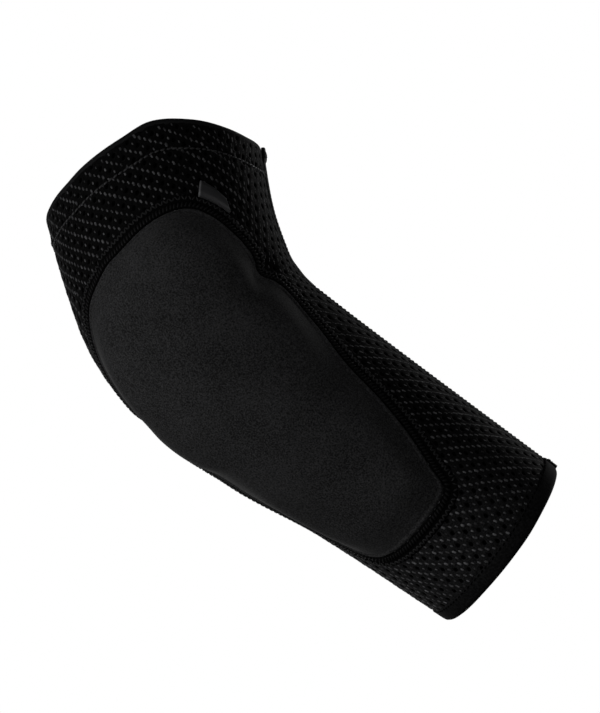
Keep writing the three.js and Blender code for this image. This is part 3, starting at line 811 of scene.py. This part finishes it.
share = np.linspace(0, 1, LONG_SEAM_PARTS)[:, None]
strip = beside_seam(share, LONG_SEAM_WIDTH * LONG_STRIP[:, 0], LONG_STRIP[:, 1], LONG_SEAM_LIFT)
sway = zigzag(int((UPPER_LENGTH + FOREARM_LENGTH) / ZIGZAG_STEP))
share = np.linspace(*ZIGZAG_ENDS, len(sway))
path = beside_seam(share, ZIGZAG_HALF * sway, 1 - ZIGZAG_FALL * np.abs(sway), THREAD_LIFT)
up = unit(beside_seam(share, 0.0, 1.0, 1.0) - beside_seam(share, 0.0, 1.0, 0.0))
thread = capped_run(thread_sections(path, up))
long_seam = cloth_object("long_seam_thread", sewing_thread, capped_run(strip), thread)
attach(long_seam, "root")
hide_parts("long_seam")

# Label tab: a short length of dark grey satin tape folded double and caught in the pad seam by its two ends.
# It is left plain; its two side edges are paler, partly selvedge and partly painted highlight.
TAB_START, TAB_OUT, TAB_WIDTH, TAB_REACH, TAPE = 2.4, 0.8, 12.5, 6.8, 0.5
TAB_LEAN = np.array([2.6, -0.6])
TAB_PARTS, TAB_STEPS, TAB_MAP = 25, 512, 1.5
# rows: distance from the seam, lift; out along the lower layer, round the fold, back along the upper one
TAB_FOLD = np.array([
    [-0.7, 0.65], [1.8, 0.65], [4.2, 0.66], [5.4, 0.7], [6.0, 0.86], [6.4, 1.15], [6.52, 1.45], [6.4, 1.75],
    [6.0, 2.0], [5.4, 2.14], [4.2, 2.15], [1.8, 1.95], [-0.7, 1.6]])


def tape_slab(middle, off):
    """Closed slab: a grid of middle points moved half the tape's thickness either way, the two faces joined
    by a wall round the grid's rim."""
    m, n = middle.shape[:2]
    points = np.concatenate([(middle + off).reshape(-1, 3), (middle - off).reshape(-1, 3)])
    i, j = np.meshgrid(np.arange(m - 1), np.arange(n - 1), indexing="ij")
    face = np.stack([i * n + j, (i + 1) * n + j, (i + 1) * n + j + 1, i * n + j + 1], -1).reshape(-1, 4)
    grid = np.arange(m * n).reshape(m, n)
    rim = np.concatenate([grid[:-1, 0], grid[-1, :-1], grid[:0:-1, -1], grid[0, :0:-1]])
    after = np.roll(rim, -1)
    wall = np.stack([after, rim, rim + m * n, after + m * n], -1)
    return points, np.concatenate([face, face[:, ::-1] + m * n, wall])


def tape_material():
    """Satin tape: fine ribs across it, a wave on the tape's own map, give the bump; its two edges are
    paler, partly selvedge and partly painted highlight."""
    material, nodes, links, shader = new_material("satin_tape")
    place = nodes.new("ShaderNodeTexCoord")
    ribs = nodes.new("ShaderNodeTexWave")
    ribs.bands_direction = "Y"
    ribs.inputs["Scale"].default_value = 12
    ribs.inputs["Distortion"].default_value = 0.4
    bump = nodes.new("ShaderNodeBump")
    bump.inputs["Strength"].default_value = 0.35
    bump.inputs["Distance"].default_value = 0.0002
    split = nodes.new("ShaderNodeSeparateXYZ")
    tone = nodes.new("ShaderNodeValToRGB")
    ramp = tone.color_ramp
    for element, position in zip(ramp.elements, (0.0, 1.0)):
        element.position = position
        element.color = (0.12, 0.12, 0.125, 1)
    # painted highlight, partly selvedge: the ends of the ramp make the two side edges four times paler than
    # the body
    for position in (0.04, 0.96):
        ramp.elements.new(position).color = (0.03, 0.03, 0.032, 1)
    links.new(place.outputs["UV"], ribs.inputs["Vector"])
    links.new(place.outputs["UV"], split.inputs["Vector"])
    links.new(split.outputs["X"], tone.inputs["Fac"])
    links.new(ribs.outputs["Fac"], bump.inputs["Height"])
    links.new(tone.outputs["Color"], shader.inputs["Base Color"])
    links.new(bump.outputs["Normal"], shader.inputs["Normal"])
    shader.inputs["Roughness"].default_value = 0.38
    shader.inputs["Specular IOR Level"].default_value = 0.5
    return material


across = np.linspace(0, 1, TAB_PARTS)
place, _, _, _ = beside_pad(TAB_STEPS, SEAM_WIDTH + TAB_OUT)
at = (TAB_START + TAB_WIDTH * across) / pad_round * TAB_STEPS
station, angle = (np.interp(at, np.arange(TAB_STEPS), p)[:, None] for p in place)
lean = np.interp(across, [0, 1], TAB_LEAN)[:, None] / TAB_REACH
middle = tube_face(station + TAB_FOLD[:, 0], angle + lean * TAB_FOLD[:, 0], TAB_FOLD[:, 1])
off = unit(np.cross(np.gradient(middle, axis=0), np.gradient(middle, axis=1))) * TAPE / 2
along = np.linspace(0, TAB_MAP, len(TAB_FOLD))
spots = np.stack(np.meshgrid(across, along, indexing="ij"), -1).reshape(-1, 2)
spots = np.concatenate([spots, spots])
tab = cloth_object("label_tab_tape", tape_material(), tape_slab(middle, off), coords=spots)
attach(tab, "root")
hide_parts("label_tab")

# Studio: a plain pale floor well below the guard, which is held up as it is when worn, a white surround, and
# four soft lights: on the elbow side, in front, beyond the crook and behind. The camera looks up a little and
# is tilted, as the picture is. Sizes here are in metres.
VIEW_AZIMUTH, VIEW_ELEVATION, VIEW_ROLL = np.radians([-39.1, -9.6, 37.1])
VIEW_DISTANCE, LENS = 1.3, 145.86
AIM_RIGHT, AIM_UP = 0.03905, -0.0094
FLOOR, FLOOR_HALF = -0.8, 2
LIGHT_AIM = np.array([0.02, 0, -0.04])

back = np.array([
    np.sin(VIEW_AZIMUTH) * np.cos(VIEW_ELEVATION), -np.cos(VIEW_AZIMUTH) * np.cos(VIEW_ELEVATION),
    np.sin(VIEW_ELEVATION)])
level = np.array([np.cos(VIEW_AZIMUTH), np.sin(VIEW_AZIMUTH), 0])
upright = np.cross(back, level)
right = np.cos(VIEW_ROLL) * level - np.sin(VIEW_ROLL) * upright
upward = np.sin(VIEW_ROLL) * level + np.cos(VIEW_ROLL) * upright


def placed(obj, place, target, top):
    """Object at a place, looking at the target with its top towards the given direction."""
    z = unit(place - target)
    x = unit(np.cross(top, z))
    turn = np.stack([x, np.cross(z, x), z], 1)
    obj.matrix_world = Matrix(np.vstack([np.column_stack([turn, place]), [0, 0, 0, 1]]).tolist())
    bpy.context.scene.collection.objects.link(obj)


def soft_light(name, place, size, power):
    """Square area light at a place given as metres to the picture's right, up and back, facing the guard."""
    lamp = bpy.data.lights.new(name, "AREA")
    lamp.size = size
    lamp.energy = power
    spot = place[0] * right + place[1] * upward + place[2] * back
    placed(bpy.data.objects.new(name, lamp), spot, LIGHT_AIM, upward + 0.01 * back)


floor_mesh = bpy.data.meshes.new("floor")
corners = [(FLOOR_HALF * x, FLOOR_HALF * y, FLOOR) for x, y in ((-1, -1), (1, -1), (1, 1), (-1, 1))]
floor_mesh.from_pydata(corners, [], [(0, 1, 2, 3)])
floor = bpy.data.objects.new("floor", floor_mesh)
bpy.context.scene.collection.objects.link(floor)
pale, _, _, pale_shader = new_material("pale_floor")
pale_shader.inputs["Base Color"].default_value = (0.04, 0.04, 0.04, 1)
pale_shader.inputs["Roughness"].default_value = 0.9
pale_shader.inputs["Emission Color"].default_value = (1, 1, 0.99, 1)
pale_shader.inputs["Emission Strength"].default_value = 0.78
floor_mesh.materials.append(pale)
floor.visible_diffuse = floor.visible_glossy = False

soft_light("key", (-1.15, -0.2, 0.4), 0.8, 5)
soft_light("front", (-0.35, 0.05, 1.2), 0.9, 3.8)
soft_light("far_side", (1.1, 0.3, -1.1), 0.7, 5.8)
soft_light("behind", (-0.4, -0.5, -1.3), 0.9, 3)

world = bpy.data.worlds.new("surround")
bpy.context.scene.world = world
world.use_nodes = True
nodes, links = world.node_tree.nodes, world.node_tree.links
seen = nodes["Background"]
seen.inputs["Color"].default_value = (1, 1, 1, 1)
seen.inputs["Strength"].default_value = 1.0
lit = nodes.new("ShaderNodeBackground")
lit.inputs["Color"].default_value = (1, 1, 1, 1)
lit.inputs["Strength"].default_value = 0.02
ray = nodes.new("ShaderNodeLightPath")
choice = nodes.new("ShaderNodeMixShader")
links.new(ray.outputs["Is Camera Ray"], choice.inputs["Fac"])
links.new(lit.outputs["Background"], choice.inputs[1])
links.new(seen.outputs["Background"], choice.inputs[2])
links.new(choice.outputs["Shader"], nodes["World Output"].inputs["Surface"])

lens = bpy.data.cameras.new("camera")
lens.sensor_width = 36
lens.lens = LENS
lens.clip_start, lens.clip_end = 0.05, 50
camera = bpy.data.objects.new("camera", lens)
placed(camera, VIEW_DISTANCE * back, AIM_RIGHT * right + AIM_UP * upward, upward)
bpy.context.scene.camera = camera
bpy.context.scene.view_settings.view_transform = "Standard"
